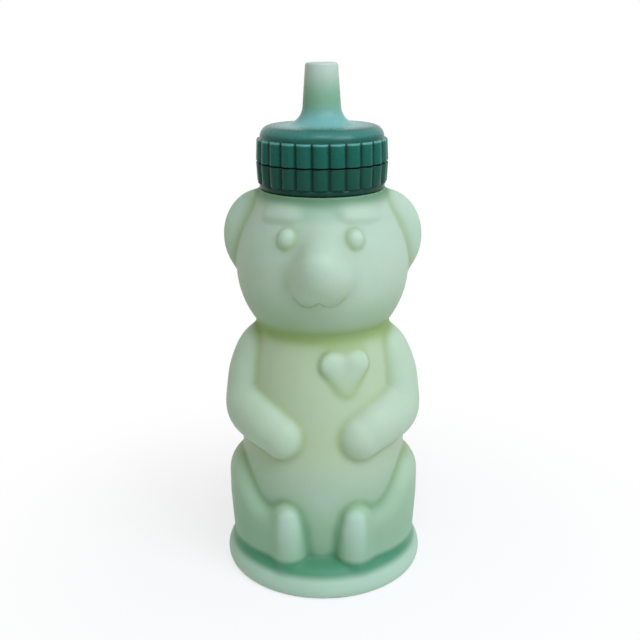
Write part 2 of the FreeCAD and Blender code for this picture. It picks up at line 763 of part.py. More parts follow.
subparts = [
    make_bear_body(),
    make_neck_insert(),
    make_neck_gasket(),
    make_screw_collar(),
    make_stopper(),
    make_spout_seal(),
    make_spout_cap(),
]
doc.recompute()

failed = [f.Name for f in doc.Objects if "Invalid" in f.State or "Error" in f.State]
if failed:
    raise RuntimeError(f"these features failed: {failed}")
os.makedirs("parts", exist_ok=True)
for piece in subparts:
    if piece.Shape.isNull() or not piece.Shape.isValid():
        raise RuntimeError(f"{piece.Label} has no valid shape")
for piece in subparts:
    piece.Shape.exportStep(f"parts/{piece.Label}.step")
    box = piece.Shape.optimalBoundingBox(False)
    print(f"{piece.Label}: {len(piece.Shape.Solids)} solid, {piece.Shape.Volume:.0f} mm3, "
          f"z {box.ZMin:.1f} to {box.ZMax:.1f}, x {box.XMin:.1f} to {box.XMax:.1f}, "
          f"y {box.YMin:.1f} to {box.YMax:.1f}")
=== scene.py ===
# %% [markdown]
# # A honey bear squeeze bottle
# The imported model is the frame: every body, joint and hard piece is already in place, in metres, with the
# middle of the base at the origin, the bear looking along -Y and its left hand towards +X. The forms below
# are reckoned in millimetres and become metres where they turn into meshes.

# %% The frame
import math

import bpy
import bmesh
from mathutils import Matrix, Vector


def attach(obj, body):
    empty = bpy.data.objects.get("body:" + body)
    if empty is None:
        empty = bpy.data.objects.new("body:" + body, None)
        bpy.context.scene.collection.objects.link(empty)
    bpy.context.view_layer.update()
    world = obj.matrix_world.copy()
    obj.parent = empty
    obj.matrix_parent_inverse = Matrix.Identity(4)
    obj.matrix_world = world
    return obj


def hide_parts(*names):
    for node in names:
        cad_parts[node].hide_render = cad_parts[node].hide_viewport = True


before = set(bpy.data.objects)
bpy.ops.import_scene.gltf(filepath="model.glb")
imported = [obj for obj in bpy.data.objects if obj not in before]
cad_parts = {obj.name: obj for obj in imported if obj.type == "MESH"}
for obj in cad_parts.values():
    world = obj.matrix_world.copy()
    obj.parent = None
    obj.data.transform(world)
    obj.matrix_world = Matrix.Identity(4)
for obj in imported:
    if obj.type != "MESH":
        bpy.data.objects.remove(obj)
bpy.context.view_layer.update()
MM = 0.001

# %% [markdown]
# ## Reckoning with sockets
# Both the bear's form and the finishes are rules: sums, products and blends of a few fields. Nodes could be
# added and linked one by one, but the rules would be lost among them. One small class lets them be written
# as Python expressions, and one method adds any other node by its type, settings and sockets.

# %% Sockets as values
# A Mix node keeps the sockets of all its data types, so those for colours go by number.
MIX_FACTOR, MIX_FIRST, MIX_SECOND, MIX_RESULT = 0, 6, 7, 2


class Wire:
    """An output socket. Arithmetic on it adds Math or Vector Math nodes to its tree."""

    def __init__(self, tree, socket):
        self.tree = tree
        self.socket = socket

    def plug(self, value, target):
        """Links a wire to a socket, or sets the socket to a plain value."""
        if isinstance(value, Wire):
            self.tree.links.new(value.socket, target)
        elif target.type == "VECTOR" and not hasattr(value, "__len__"):
            target.default_value = (value,) * 3
        elif target.type == "RGBA" and len(value) == 3:
            target.default_value = (*value, 1)
        else:
            target.default_value = value

    def add(self, kind, settings=None, sockets=None, output=0):
        """Any node: its type, its settings, then the values or links of its sockets."""
        node = self.tree.nodes.new(kind)
        for name, value in (settings or {}).items():
            setattr(node, name, value)
        for name, value in (sockets or {}).items():
            self.plug(value, node.inputs[name])
        return Wire(self.tree, node.outputs[output])

    def is_vector(self):
        return self.socket.type == "VECTOR"

    def math(self, operation, *values, output=0):
        """A Vector Math node where one of the values is a vector, and a Math node otherwise."""
        vectors = [v for v in values if hasattr(v, "__len__") or (isinstance(v, Wire) and v.is_vector())]
        kind = "ShaderNodeVectorMath" if vectors else "ShaderNodeMath"
        return self.add(kind, {"operation": operation}, dict(enumerate(values)), output)

    def __add__(self, other):
        return self.math("ADD", self, other)

    def __sub__(self, other):
        return self.math("SUBTRACT", self, other)

    def __rsub__(self, other):
        return self.math("SUBTRACT", other, self)

    def __mul__(self, other):
        return self.math("MULTIPLY", self, other)

    def __truediv__(self, other):
        return self.math("DIVIDE", self, other)

    def __rtruediv__(self, other):
        return self.math("DIVIDE", other, self)

    def __pow__(self, other):
        return self.math("POWER", self, other)

    def __neg__(self):
        return self * -1

    __radd__ = __add__
    __rmul__ = __mul__

    def abs(self):
        return self.math("ABSOLUTE", self)

    def sqrt(self):
        return self.math("SQRT", self)

    def least(self, other):
        return self.math("MINIMUM", self, other)

    def most(self, other):
        return self.math("MAXIMUM", self, other)

    def melt(self, other, width):
        """The smaller of two distances, with a soft fillet of that width where they meet."""
        return self.math("SMOOTH_MIN", self, other, width)

    def length(self):
        return self.math("LENGTH", self, output="Value")

    def dot(self, other):
        return self.math("DOT_PRODUCT", self, other, output="Value")

    def parts(self):
        """The three numbers of a vector."""
        node = self.add("ShaderNodeSeparateXYZ", sockets={"Vector": self}).socket.node
        return [Wire(self.tree, output) for output in node.outputs]

    def joined(self, x, y, z):
        """A vector from three numbers."""
        return self.add("ShaderNodeCombineXYZ", sockets={"X": x, "Y": y, "Z": z})

    def step(self, low, high):
        """0 below low, 1 above high, and a smooth way between; low may be above high."""
        return self.add("ShaderNodeMapRange", {"interpolation_type": "SMOOTHSTEP"},
                        {"Value": self, "From Min": low, "From Max": high})

    def mix(self, first, second):
        """From the first colour to the second as this value goes from 0 to 1."""
        return self.add("ShaderNodeMix", {"data_type": "RGBA"},
                        {MIX_FACTOR: self, MIX_FIRST: first, MIX_SECOND: second}, MIX_RESULT)


def source(tree, kind, output=0):
    """The first wire of a tree, from a node that needs no input."""
    return Wire(tree, tree.nodes.new(kind).outputs[output])


print("sockets reckon")

# %% [markdown]
# ## The camera
# The photo was taken from a little above the head, close by: the base shows as a deep ellipse, the seam of
# the cap as a shallow one. A camera fitted to both circles stands 291 mm away and 182 mm up, with a 50 mm
# lens.

# %% Camera at the photo's angle
CAMERA_REACH, CAMERA_HEIGHT = 291.4 * MM, 182.2 * MM
CAMERA_AIM, CAMERA_SIDE = 88.0 * MM, 0.93 * MM
CAMERA_AZIMUTH, CAMERA_ROLL = math.radians(1.3), math.radians(0.31)
CAMERA_LENS = 50.05
CAMERA_NEAR = 10 * MM

camera = bpy.data.objects.new("camera", bpy.data.cameras.new("camera"))
bpy.context.scene.collection.objects.link(camera)
bpy.context.scene.camera = camera
camera.data.lens = CAMERA_LENS
camera.data.clip_start = CAMERA_NEAR
across, back = math.sin(CAMERA_AZIMUTH), math.cos(CAMERA_AZIMUTH)
camera.location = (CAMERA_REACH * across, -CAMERA_REACH * back, CAMERA_HEIGHT)
look = Vector((-CAMERA_SIDE, 0, CAMERA_AIM)) - camera.location
aim = look.to_track_quat("-Z", "Y").to_matrix() @ Matrix.Rotation(-CAMERA_ROLL, 3, "Z")
camera.rotation_euler = aim.to_euler()
bpy.context.scene.view_settings.view_transform = "Standard"
print("camera at", [round(v, 4) for v in camera.location])

# %% [markdown]
# ## The bear's form
# The real bear is one soft moulding: every limb melts into its neighbour with a generous fillet. Box
# modelling would need each fillet drawn by hand. A distance rule gives them for free: each limb is a simple
# distance, and a smooth minimum melts one into the next. Geometry Nodes fill a volume with that rule and
# mesh its surface.

# %% Distances to simple forms, in millimetres
UPRIGHT = (1, 0, 0), (0, 1, 0), (0, 0, 1)


def egg(p, centre, radii, axes=UPRIGHT):
    """About the distance to an ellipsoid with its radii along three axes."""
    d = p - centre
    near = [d.dot([a / r for a in axis]) for axis, r in zip(axes, radii)]
    far = [n / r for n, r in zip(near, radii)]
    k = d.joined(*near).length()
    return k * (k - 1) / d.joined(*far).length()


def limb(p, start, end, radii):
    """The distance to a round bar from start to end, with its radius at each."""
    way = Vector(end) - Vector(start)
    d = p - start
    along = d.dot(list(way / way.length_squared)).most(0).least(1)
    near = (d - d.joined(*[along * part for part in way])).length()
    return near - (along * (radii[1] - radii[0]) + radii[0])


def drum(r, z, radius, low, high):
    """The distance to an upright cylinder, from the distance r to its axis and the height z."""
    return (r - radius).most(z - high).most(low - z)


def bowl(r, z, radius, arc, middle):
    """The distance to a turned form whose side is an arc, widest at the height of its middle."""
    return ((r - (radius - arc)) ** 2 + (z - middle) ** 2).sqrt() - arc


def cone(r, z, place, normal):
    """About the distance to a cone's side through a place (r, z), from its outward normal (r, z)."""
    return (r - place[0]) * normal[0] + (z - place[1]) * normal[1]


def around(angle, reach, z):
    """The place at an angle from the front, counted towards the bear's left, at a reach from the axis."""
    turn = math.radians(angle)
    return reach * math.sin(turn), -reach * math.cos(turn), z


def frame_axes(angle, tilt=0, spin=0):
    """Sideways, inward and upward axes of a place, tilted about the first and spun about the second."""
    turn = Matrix.Rotation(math.radians(angle), 3, "Z")
    turn = turn @ Matrix.Rotation(math.radians(tilt), 3, "X") @ Matrix.Rotation(math.radians(spin), 3, "Y")
    return [tuple(turn.col[i]) for i in range(3)]


print("forms:", [form.__name__ for form in (egg, limb, drum, bowl, cone)])

# %% [markdown]
# ## Arms
# Each arm hangs from the shoulder, bends at the elbow and lies round the belly, a little thicker at the
# elbow. A few straight bars would show their corners. Here a smooth way through eight places becomes a
# close row of points, each with its radius, and the nearest point gives the distance.

# %% An arm as a strand of points
# Places along the middle of an arm: angle from the front, reach from the axis, height, radius there.
ARM = [(82, 15.0, 87.0, 6.0), (80, 20.4, 80.5, 8.1), (79, 23.2, 73.0, 9.0), (76, 24.1, 66.0, 9.6),
       (69, 24.5, 60.6, 10.2), (55, 24.9, 59.2, 9.7), (41, 25.3, 57.8, 8.9), (29, 25.3, 55.4, 8.3)]
ARM_STEPS = 24


def new_piece(name, mesh=None):
    piece = bpy.data.objects.new(name, mesh or bpy.data.meshes.new(name))
    bpy.context.scene.collection.objects.link(piece)
    return piece


def path_cloud(name, stations, steps):
    """Points close together along a smooth way through stations, each with its radius, in millimetres."""
    knots = [Vector((*around(angle, reach, z), radius)) for angle, reach, z, radius in stations]
    before, after = knots[0] * 2 - knots[1], knots[-1] * 2 - knots[-2]
    before.w, after.w = knots[1].w, knots[-2].w
    knots = [before, *knots, after]
    points = []
    for a, b, c, d in zip(knots, knots[1:], knots[2:], knots[3:]):
        for i in range(steps):
            t = i / steps
            slope = (c - a) * t / 2
            bend = (a * 2 - b * 5 + c * 4 - d) * t**2 / 2
            twist = (b * 3 - a - c * 3 + d) * t**3 / 2
            points.append(b + slope + bend + twist)
    mesh = bpy.data.meshes.new(name)
    mesh.from_pydata([point.xyz for point in points], [], [])
    radii = mesh.attributes.new("radius", "FLOAT", "POINT")
    radii.data.foreach_set("value", [point.w for point in points])
    return new_piece(name, mesh)


def strand(p, cloud):
    """The distance to a limb of changing radius, from the nearest point of its cloud."""
    points = p.add("GeometryNodeObjectInfo", sockets={"Object": cloud}, output="Geometry")
    nearest = p.add("GeometryNodeSampleNearest", sockets={"Geometry": points, "Sample Position": p})
    place = p.add("GeometryNodeSampleIndex", {"data_type": "FLOAT_VECTOR"}, {
        "Geometry": points, "Value": p.add("GeometryNodeInputPosition"), "Index": nearest})
    stored = p.add("GeometryNodeInputNamedAttribute", sockets={"Name": "radius"})
    radius = p.add("GeometryNodeSampleIndex", sockets={"Geometry": points, "Value": stored, "Index": nearest})
    return (p - place).length() - radius


arm_cloud = path_cloud("arm_cloud", ARM, ARM_STEPS)
print("arm:", len(ARM), "places,", len(arm_cloud.data.vertices), "points")

# %% [markdown]
# ## Heart, haunches and base
# A puffed heart sits on the chest, the legs lie round the sides like low walls that climb to the hip, and
# the base is a low cone with a rounded rim. The heart is two tapering bars that lean together. The haunches
# and the base follow the bear round, so they are reckoned from the angle, the reach and the height instead
# of x, y and z.

# %% Heart, haunch and base
HEART_ANGLE, HEART_REACH, HEART_HEIGHT, HEART_LEAN = 18.4, 24.0, 77.2, -8
HEART_LOBE, HEART_TIP, HEART_RADII, HEART_MELT = (3.7, 3.0), (0.4, -4.8), (4.6, 2.9), 4.2
HEART_FLATTENING = 1.9
# Flattening makes the heart's distance too steep, so a share of it is taken.
HEART_STEEPNESS_SHARE = 0.8
# Angles of the haunch are degrees from the front.
HAUNCH_REACH, HAUNCH_RADIUS, HAUNCH_TURNS = 23.2, 8.2, (30, 124)
HAUNCH_LOW, HIP_CLIMB, HIP_TURNS = 21.2, 12.0, (40, 74)
HIP_SWELL, HIP_SWELL_TURNS = 2.1, (22, 75)
HAUNCH_ARC = 23
FADE_TURN, FADE_DEPTH = 85, 13.0
TUCK_HEIGHT, TUCK_SHARE = 25, 0.06
BASE_TOP, BASE_TOP_NORMAL = (29.0, 9.8), (0.22, 0.97)
BASE_SIDE, BASE_SIDE_NORMAL = (31.5, 9.6), (0.88, 0.47)
BASE_ROUND, BASE_MELT, BASE_INSET = 3.0, 4.0, 0.8


def heart(p):
    """A puffed heart: two tapering bars that lean together, flattened against the chest."""
    side, inward, up = frame_axes(HEART_ANGLE, HEART_LEAN)
    d = p - around(HEART_ANGLE, HEART_REACH, HEART_HEIGHT)
    flat = d.joined(d.dot(side), d.dot(inward) * HEART_FLATTENING, d.dot(up))
    halves = []
    for sign in (-1, 1):
        lobe, tip = [(sign * x, 0, z) for x, z in (HEART_LOBE, HEART_TIP)]
        halves.append(limb(flat, lobe, tip, HEART_RADII))
    return halves[0].melt(halves[1], HEART_MELT) * HEART_STEEPNESS_SHARE


def haunch(r, z, turn):
    """A leg round the side: a round-topped wall, high at the hip, lower to the foot, faded behind."""
    start, end = map(math.radians, HAUNCH_TURNS)
    hip = turn.step(*map(math.radians, HIP_TURNS))
    rise = (z - (hip * HIP_CLIMB + HAUNCH_LOW)).most(0)
    past = ((start - turn) * HAUNCH_ARC).most((turn - end) * HAUNCH_ARC).most(0)
    behind = (turn - math.radians(FADE_TURN)).most(0)
    tuck = (TUCK_HEIGHT - z).most(0) * TUCK_SHARE
    out = r - HAUNCH_REACH + behind ** 2 * FADE_DEPTH + tuck
    radius = turn.step(*map(math.radians, HIP_SWELL_TURNS)) * HIP_SWELL + HAUNCH_RADIUS
    return (out * out + rise * rise + past * past).sqrt() - radius


def plinth(r, z, size):
    """The base: a low flat cone, a steeper one outside it, and the rounded rim."""
    top = cone(r, z, BASE_TOP, BASE_TOP_NORMAL)
    side = cone(r, z, BASE_SIDE, BASE_SIDE_NORMAL)
    edge = (r - size["Rim Radius"] + size["Rim Round"]).most(0)
    rim = (edge ** 2 + (z - size["Rim Round"]) ** 2).sqrt() - size["Rim Round"]
    slopes = (-(-top).melt(-side, BASE_ROUND)).most(r - size["Rim Radius"] + BASE_INSET)
    return slopes.melt(rim, BASE_MELT)


print("forms:", [form.__name__ for form in (heart, haunch, plinth)])

# %% [markdown]
# ## The whole bear
# Torso and head are turned forms. Feet, ears, muzzle, brows and eyes are bars and eggs set on them, and
# what comes in pairs is reckoned once, from the distance to the middle plane. Each piece melts into the sum
# so far with its own fillet: narrow for the eyes, wide where the nose runs into the face.

# %% The bear as one distance rule
BEAR = {
    "Rim Radius": 34.7, "Rim Round": 2.3, "Torso Radius": 28.5, "Torso Arc": 172.0, "Torso Height": 42.0,
    "Head Radius": 28.8, "Head Arc": 31.0, "Head Height": 108.5, "Boss Radius": 20.3, "Melt": 1.0,
}
BOSS_LOW, BOSS_HIGH = 110, 136
FOOT_SOLE, FOOT_TOE, FOOT_RADII, FOOT_MELT = (11.3, -24.2, 6), (11.3, -24.8, 26.6), (5.6, 5.0), 4.0
EAR, EAR_RADII = (20.0, 2.0, 117.4), (13.2, 6.6, 15.8)
MUZZLE, MUZZLE_RADII, MUZZLE_TILT = (0, -24.8, 110.0), (10.2, 11.0, 8.2), -10
BRIDGE_TOP, BRIDGE_END, BRIDGE_RADII, BRIDGE_MELT = (0, -18.6, 120.4), (0, -30.8, 115.0), (6.6, 5.7), 7.0
BROW_ANGLE, BROW_REACH, BROW_HEIGHT, BROW_RADII = 34, 20.4, 127.2, (8.2, 3.4, 3.6)
BROW_TILT, BROW_SPIN = -39, 4
BROW_FILLETS, BROW_FILLET_HEIGHTS = (0.6, 3.6), (128.0, 131.0)
EYE_ANGLE, EYE_REACH, EYE_HEIGHT, EYE_RADII = 24.0, 25.0, 121.2, (3.2, 3.1, 3.6)
# The width of the fillet where each piece joins, and how far its crease spreads.
JOINS = {"torso": (0, 0), "head": (2.2, 6.5), "boss": (7.0, 0), "arm": (2.4, 3.0), "leg": (1.8, 4.0),
         "base": (1.5, 3.0), "ear": (2.4, 3.5), "nose": (5.5, 1.5), "eye": (0.8, 3.0), "heart": (1.4, 3.0)}
BROW_SPREAD = 1.5


def bear_pieces(p, size, arm):
    """Each piece of the bear as (distance, width of the fillet where it joins, spread of its crease)."""
    x, y, z = p.parts()
    q = p.joined(x.abs(), y, z)
    r = (x * x + y * y).sqrt()
    turn = x.math("ARCTAN2", x.abs(), -y)
    torso, head = [bowl(r, z, size[f"{name} Radius"], size[f"{name} Arc"], size[f"{name} Height"])
                   for name in ("Torso", "Head")]
    boss = drum(r, z, size["Boss Radius"], BOSS_LOW, BOSS_HIGH)
    foot = limb(q, FOOT_SOLE, FOOT_TOE, FOOT_RADII)
    leg = haunch(r, z, turn).melt(foot, FOOT_MELT)
    ear = egg(q, EAR, EAR_RADII)
    muzzle = egg(p, MUZZLE, MUZZLE_RADII, frame_axes(0, MUZZLE_TILT))
    nose = muzzle.melt(limb(p, BRIDGE_TOP, BRIDGE_END, BRIDGE_RADII), BRIDGE_MELT)
    brow_axes = frame_axes(BROW_ANGLE, BROW_TILT, BROW_SPIN)
    brow = egg(q, around(BROW_ANGLE, BROW_REACH, BROW_HEIGHT), BROW_RADII, brow_axes)
    # A brow rises softly from the forehead and ends sharply above the eye.
    brow_low, brow_high = BROW_FILLETS
    brow_fillet = z.step(*BROW_FILLET_HEIGHTS) * (brow_high - brow_low) + brow_low
    eye = egg(q, around(EYE_ANGLE, EYE_REACH, EYE_HEIGHT), EYE_RADII, frame_axes(EYE_ANGLE))
    joins = {**JOINS, "brow": (brow_fillet, BROW_SPREAD)}
    distances = {"torso": torso, "head": head, "boss": boss, "arm": strand(q, arm), "leg": leg,
                 "base": plinth(r, z, size), "ear": ear, "nose": nose, "brow": brow, "eye": eye,
                 "heart": heart(p)}
    return [(distance, *joins[name]) for name, distance in distances.items()]


def bear_distance(p, size, arm, creased=False):
    """The whole bear; creased widens the fillets by the spreads of their creases."""
    whole = None
    for distance, width, spread in bear_pieces(p, size, arm):
        width = size["Melt"] * (width + spread * creased)
        whole = distance if whole is None else whole.melt(distance, width)
    return whole.most(-p.parts()[2])


print(len(BEAR), "named sizes,", len(JOINS) + 1, "kinds of joined pieces")

# %% [markdown]
# ## Running a tree
# A Geometry Nodes tree acts on a piece as a modifier, and the finished bottle needs plain meshes. These
# helpers start a tree with its named sizes, end it with its material, run it on a piece, and keep the
# result in place of the modifier. A size goes to the modifier by its socket's identifier, because names
# need not be unique there.

# %% Running a tree
def new_tree(name, sizes):
    """A Geometry Nodes tree with named inputs; returns it, its input wires and the output node."""
    tree = bpy.data.node_groups.new(name, "GeometryNodeTree")
    for side in ("INPUT", "OUTPUT"):
        tree.interface.new_socket("Geometry", in_out=side, socket_type="NodeSocketGeometry")
    for title, value in sizes.items():
        kind = "NodeSocketFloat" if isinstance(value, float) else "NodeSocketObject"
        socket = tree.interface.new_socket(title, in_out="INPUT", socket_type=kind)
        if isinstance(value, float):
            socket.default_value = value
    inlet = tree.nodes.new("NodeGroupInput")
    outlet = tree.nodes.new("NodeGroupOutput")
    return tree, {title: Wire(tree, inlet.outputs[title]) for title in ("Geometry", *sizes)}, outlet


def end_tree(tree, mesh, material, outlet):
    """The last nodes of every tree: smooth shading, realised instances and the material."""
    mesh = mesh.add("GeometryNodeSetShadeSmooth", sockets={"Geometry": mesh})
    mesh = mesh.add("GeometryNodeRealizeInstances", sockets={"Geometry": mesh})
    mesh = mesh.add("GeometryNodeSetMaterial", sockets={"Geometry": mesh, "Material": material})
    tree.links.new(mesh.socket, outlet.inputs["Geometry"])


def settle(piece):
    """Keeps what a piece's modifiers make of it as a plain mesh, and takes them off."""
    made = bpy.data.meshes.new_from_object(piece.evaluated_get(bpy.context.evaluated_depsgraph_get()))
    piece.modifiers.clear()
    old = piece.data
    piece.data = made
    bpy.data.meshes.remove(old)
    made.name = piece.name


def run_tree(tree, piece, values):
    """Runs a tree on a piece with those values."""
    modifier = piece.modifiers.new("form", "NODES")
    modifier.node_group = tree
    for item in tree.interface.items_tree:
        if item.in_out == "INPUT" and item.name in values:
            modifier[item.identifier] = values[item.name]
    settle(piece)


print("trees run")

# %% [markdown]
# ## The bear's outside
# The rule is sampled in a box round the bear, on cells about as fine as the smallest fillet, and the
# surface where it passes zero becomes the mesh. Smaller cells would sharpen the eyes a little, but cells of
# half the size make four times the faces.

# %% The bear's outside
CELL = 0.7
BOX_LOW, BOX_HIGH = (-37.0, -41.0, -1.5), (37.0, 37.0, 137.0)
OUTSIDE_DENSITY = -9.0


def bear_tree(material, values):
    tree, size, outlet = new_tree("bear_form", values)
    position = source(tree, "GeometryNodeInputPosition")
    density = -bear_distance(position * (1 / MM), size, size["Arm"])
    box = {"Min": [v * MM for v in BOX_LOW], "Max": [v * MM for v in BOX_HIGH]}
    for axis, low, high in zip("XYZ", BOX_LOW, BOX_HIGH):
        box[f"Resolution {axis}"] = round((high - low) / CELL)
    volume = position.add("GeometryNodeVolumeCube", sockets={
        "Density": density, "Background": OUTSIDE_DENSITY, **box})
    mesh = position.add("GeometryNodeVolumeToMesh", {"resolution_mode": "GRID"},
                        {"Volume": volume, "Threshold": 0.0})
    end_tree(tree, mesh, material, outlet)
    return tree


silicone = bpy.data.materials.new("milky_silicone")
bear_values = {**BEAR, "Arm": arm_cloud}
bear = new_piece("bear")
run_tree(bear_tree(silicone, bear_values), bear, bear_values)
print("bear:", len(bear.data.polygons), "faces")

# %% [markdown]
# ## The hollow
# The real bear holds honey, so it must be hollow, with an open neck. A wall of about 3 mm is a guess. The
# hollow is a turned form, so it is lathed from a profile and taken out of the bear with a boolean. The same
# cut leaves the flat land that the cap stands on, and the seat with a bead that holds the stiff neck.

# %% The hollow and the land
WALL, FLOOR_THICKNESS, WAIST_Z, SLEEVE_Z = 2.8, 3.6, 88.0, 124.82
SEAT_RADIUS, BEAD_RADIUS, BEAD_Z, BEAD_HALF = 17.4, 18.1, 128.72, 1.4
FLANGE_Z, FLANGE_RADIUS, LAND_Z, OPEN_RADIUS, OPEN_Z = 132.62, 18.6, 133.82, 27.0, 142.0
TORSO_STEPS, HEAD_STEPS, LATHE_STEPS = 24, 16, 96


def ring(bm, radius, z, steps):
    """A level circle of points, in millimetres."""
    turns = [2 * math.pi * i / steps for i in range(steps)]
    return [bm.verts.new((radius * MM * math.cos(t), radius * MM * math.sin(t), z * MM)) for t in turns]


def strip(bm, rings, i, k):
    """The faces from each circle to the next, between their points i and k."""
    for low, high in zip(rings, rings[1:]):
        bm.faces.new((low[i], low[k], high[k], high[i]))


def lathe(name, profile, steps):
    """A closed turned form from (radius, height) pairs in millimetres that start and end on the axis."""
    bm = bmesh.new()
    ends = [bm.verts.new((0, 0, z * MM)) for z in (profile[0][1], profile[-1][1])]
    rings = [ring(bm, radius, z, steps) for radius, z in profile[1:-1]]
    for i in range(steps):
        k = (i + 1) % steps
        bm.faces.new((ends[0], rings[0][k], rings[0][i]))
        bm.faces.new((ends[1], rings[-1][i], rings[-1][k]))
        strip(bm, rings, i, k)
    mesh = bpy.data.meshes.new(name)
    bm.to_mesh(mesh)
    bm.free()
    return new_piece(name, mesh)


def inner_wall(name, low, high, steps):
    """(radius, height) pairs along the inside of the torso's or the head's arc."""
    radius, arc = BEAR[f"{name} Radius"] - WALL, BEAR[f"{name} Arc"] - WALL
    heights = [low + (high - low) * i / steps for i in range(steps + 1)]
    return [(radius - arc + math.sqrt(arc ** 2 - (z - BEAR[f"{name} Height"]) ** 2), z) for z in heights]


torso_wall = inner_wall("Torso", FLOOR_THICKNESS, WAIST_Z, TORSO_STEPS)
head_wall = inner_wall("Head", WAIST_Z, SLEEVE_Z, HEAD_STEPS)
seat = [(SEAT_RADIUS, SLEEVE_Z), (SEAT_RADIUS, BEAD_Z - BEAD_HALF), (BEAD_RADIUS, BEAD_Z),
        (SEAT_RADIUS, BEAD_Z + BEAD_HALF), (SEAT_RADIUS, FLANGE_Z), (FLANGE_RADIUS, FLANGE_Z),
        (FLANGE_RADIUS, LAND_Z), (OPEN_RADIUS, LAND_Z), (OPEN_RADIUS, OPEN_Z)]
profile = [(0, FLOOR_THICKNESS), *torso_wall, *head_wall[1:], *seat, (0, OPEN_Z)]
hollow = lathe("hollow", profile, LATHE_STEPS)
cut = bear.modifiers.new("hollow", "BOOLEAN")
cut.operation = "DIFFERENCE"
cut.object = hollow
settle(bear)
bpy.data.objects.remove(hollow)
print("hollow bear:", len(bear.data.polygons), "faces")

# %% [markdown]
# ## The mouth
# The smile is a fine line pressed into the muzzle, finer than the cells of the volume. The faces along it
# are split until they are fine enough, and their corners are pressed in by a rule of two joined cups.

# %% The smile
MOUTH_MIDDLE, MOUTH_CUP, MOUTH_REACH, MOUTH_LOW = -0.5, 3.5, 7.9, 101.1
MOUTH_INNER, MOUTH_OUTER = 1.9, 3.0
MOUTH_WIDTH, MOUTH_DEPTH, MOUTH_NEAR, MOUTH_SPLITS = 0.4, 0.28, 1.2, 2
MOUTH_BACK = -15
MOUTH_FADE = 2
WELD = MM / 1000


def mouth_distance(point):
    """How far a point of the front lies from the smile, seen from the front, in millimetres."""
    x, y, z = point / MM
    if y > MOUTH_BACK:
        return math.inf
    far = abs(x - MOUTH_MIDDLE)
    along = min(far, MOUTH_REACH)
    rise, span = (MOUTH_OUTER, MOUTH_REACH - MOUTH_CUP) if along > MOUTH_CUP else (MOUTH_INNER, MOUTH_CUP)
    share = (along - MOUTH_CUP) / span
    slope = 2 * rise * share / span
    line = MOUTH_LOW + rise * share ** 2
    return math.hypot((z - line) / math.hypot(1, slope), far - along)


bm = bmesh.new()
bm.from_mesh(bear.data)
for i in range(MOUTH_SPLITS):
    near = [e for e in bm.edges if min(mouth_distance(v.co) for v in e.verts) < MOUTH_NEAR]
    bmesh.ops.subdivide_edges(bm, edges=near, cuts=1, use_grid_fill=True)
bm.normal_update()
for vert in bm.verts:
    share = mouth_distance(vert.co) / MOUTH_WIDTH
    if share < MOUTH_FADE:
        vert.co -= vert.normal * MOUTH_DEPTH * MM * math.exp(-share ** 2)
bmesh.ops.remove_doubles(bm, verts=bm.verts, dist=WELD)
bmesh.ops.recalc_face_normals(bm, faces=bm.faces)
bm.to_mesh(bear.data)
bm.free()
print("bear with its smile:", len(bear.data.polygons), "faces")

# %% [markdown]
# ## Creases
# The folds of the bear are painted greener than its rounds: painted shade, together with the deeper colour
# that light takes on its longer way through thick silicone. The same distance rule with wider fillets swells
# only in
# the folds: how much it swells is kept with each point as its crease.

# %% Crease at every point
def crease_tree(material, values):
    tree, size, outlet = new_tree("bear_crease", values)
    position = source(tree, "GeometryNodeInputPosition")
    crease = (-bear_distance(position * (1 / MM), size, size["Arm"], True)).most(0)
    mesh = position.add("GeometryNodeStoreNamedAttribute", {"data_type": "FLOAT", "domain": "POINT"},
                        {"Geometry": size["Geometry"], "Name": "crease", "Value": crease})
    end_tree(tree, mesh, material, outlet)
    return tree


run_tree(crease_tree(silicone, bear_values), bear, bear_values)
bpy.data.objects.remove(arm_cloud)
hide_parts("bear_body")
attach(bear, "bottle")
print("bear:", sum(len(p.vertices) - 2 for p in bear.data.polygons), "triangles")

# %% [markdown]
# ## Laying tones
# A moulding that is coloured through still changes its tone over its surface, with the thickness of the
# wall and with what lies behind it, and some of the tones laid here are painted shade and painted highlights.
# Painting by hand would need an unwrapped map. Here each tone has a place, given by the coordinates between
# which it fades in, a share and a colour, and the tones are laid one over the other.

# %% Tones
def finish(material):
    """Starts a material: its shader and a wire for its places in millimetres."""
    material.use_nodes = True
    tree = material.node_tree
    return tree.nodes["Principled BSDF"], source(tree, "ShaderNodeTexCoord", "Object") * (1 / MM)


def named_coordinates(p):
    """The coordinates that the places of tones go by."""
    x, y, z = p.parts()
    return {"side": x.abs(), "back": y, "height": z, "reach": (x * x + y * y).sqrt()}


def place_mask(coordinates, place):
    """1 inside a place and 0 outside: it fades in between two values of each coordinate, in that order."""
    mask = None
    for name, *fades in place:
        for fade in fades:
            part = coordinates[name].step(*fade)
            mask = part if mask is None else mask * part
    return mask


def lay(colour, coordinates, tones):
    """Lays tones over a colour, each given as its place, its share there and its own colour."""
    for place, share, tone in tones:
        colour = (place_mask(coordinates, place) * share).mix(colour, tone)
    return colour


print("tones can be laid")

# %% [markdown]
# ## A moulded skin
# A mould leaves a fine matte grain on what comes out of it, on silicone and on stiff plastic. A picture of
# grain would need an unwrapped map and would repeat. A noise rule has neither fault: as a bump it only
# bends the light, and the same noise makes colour and roughness a little uneven.

# %% Skins
NOISE_DETAIL, GRAIN_DEPTH = 2.0, 0.05 * MM


def feed(shader, title, wire):
    wire.tree.links.new(wire.socket, shader.inputs[title])


def constants(shader, **values):
    for title, value in values.items():
        shader.inputs[title.replace("_", " ")].default_value = value


def noise(p, scale):
    return p.add("ShaderNodeTexNoise", sockets={"Vector": p, "Scale": scale, "Detail": NOISE_DETAIL})


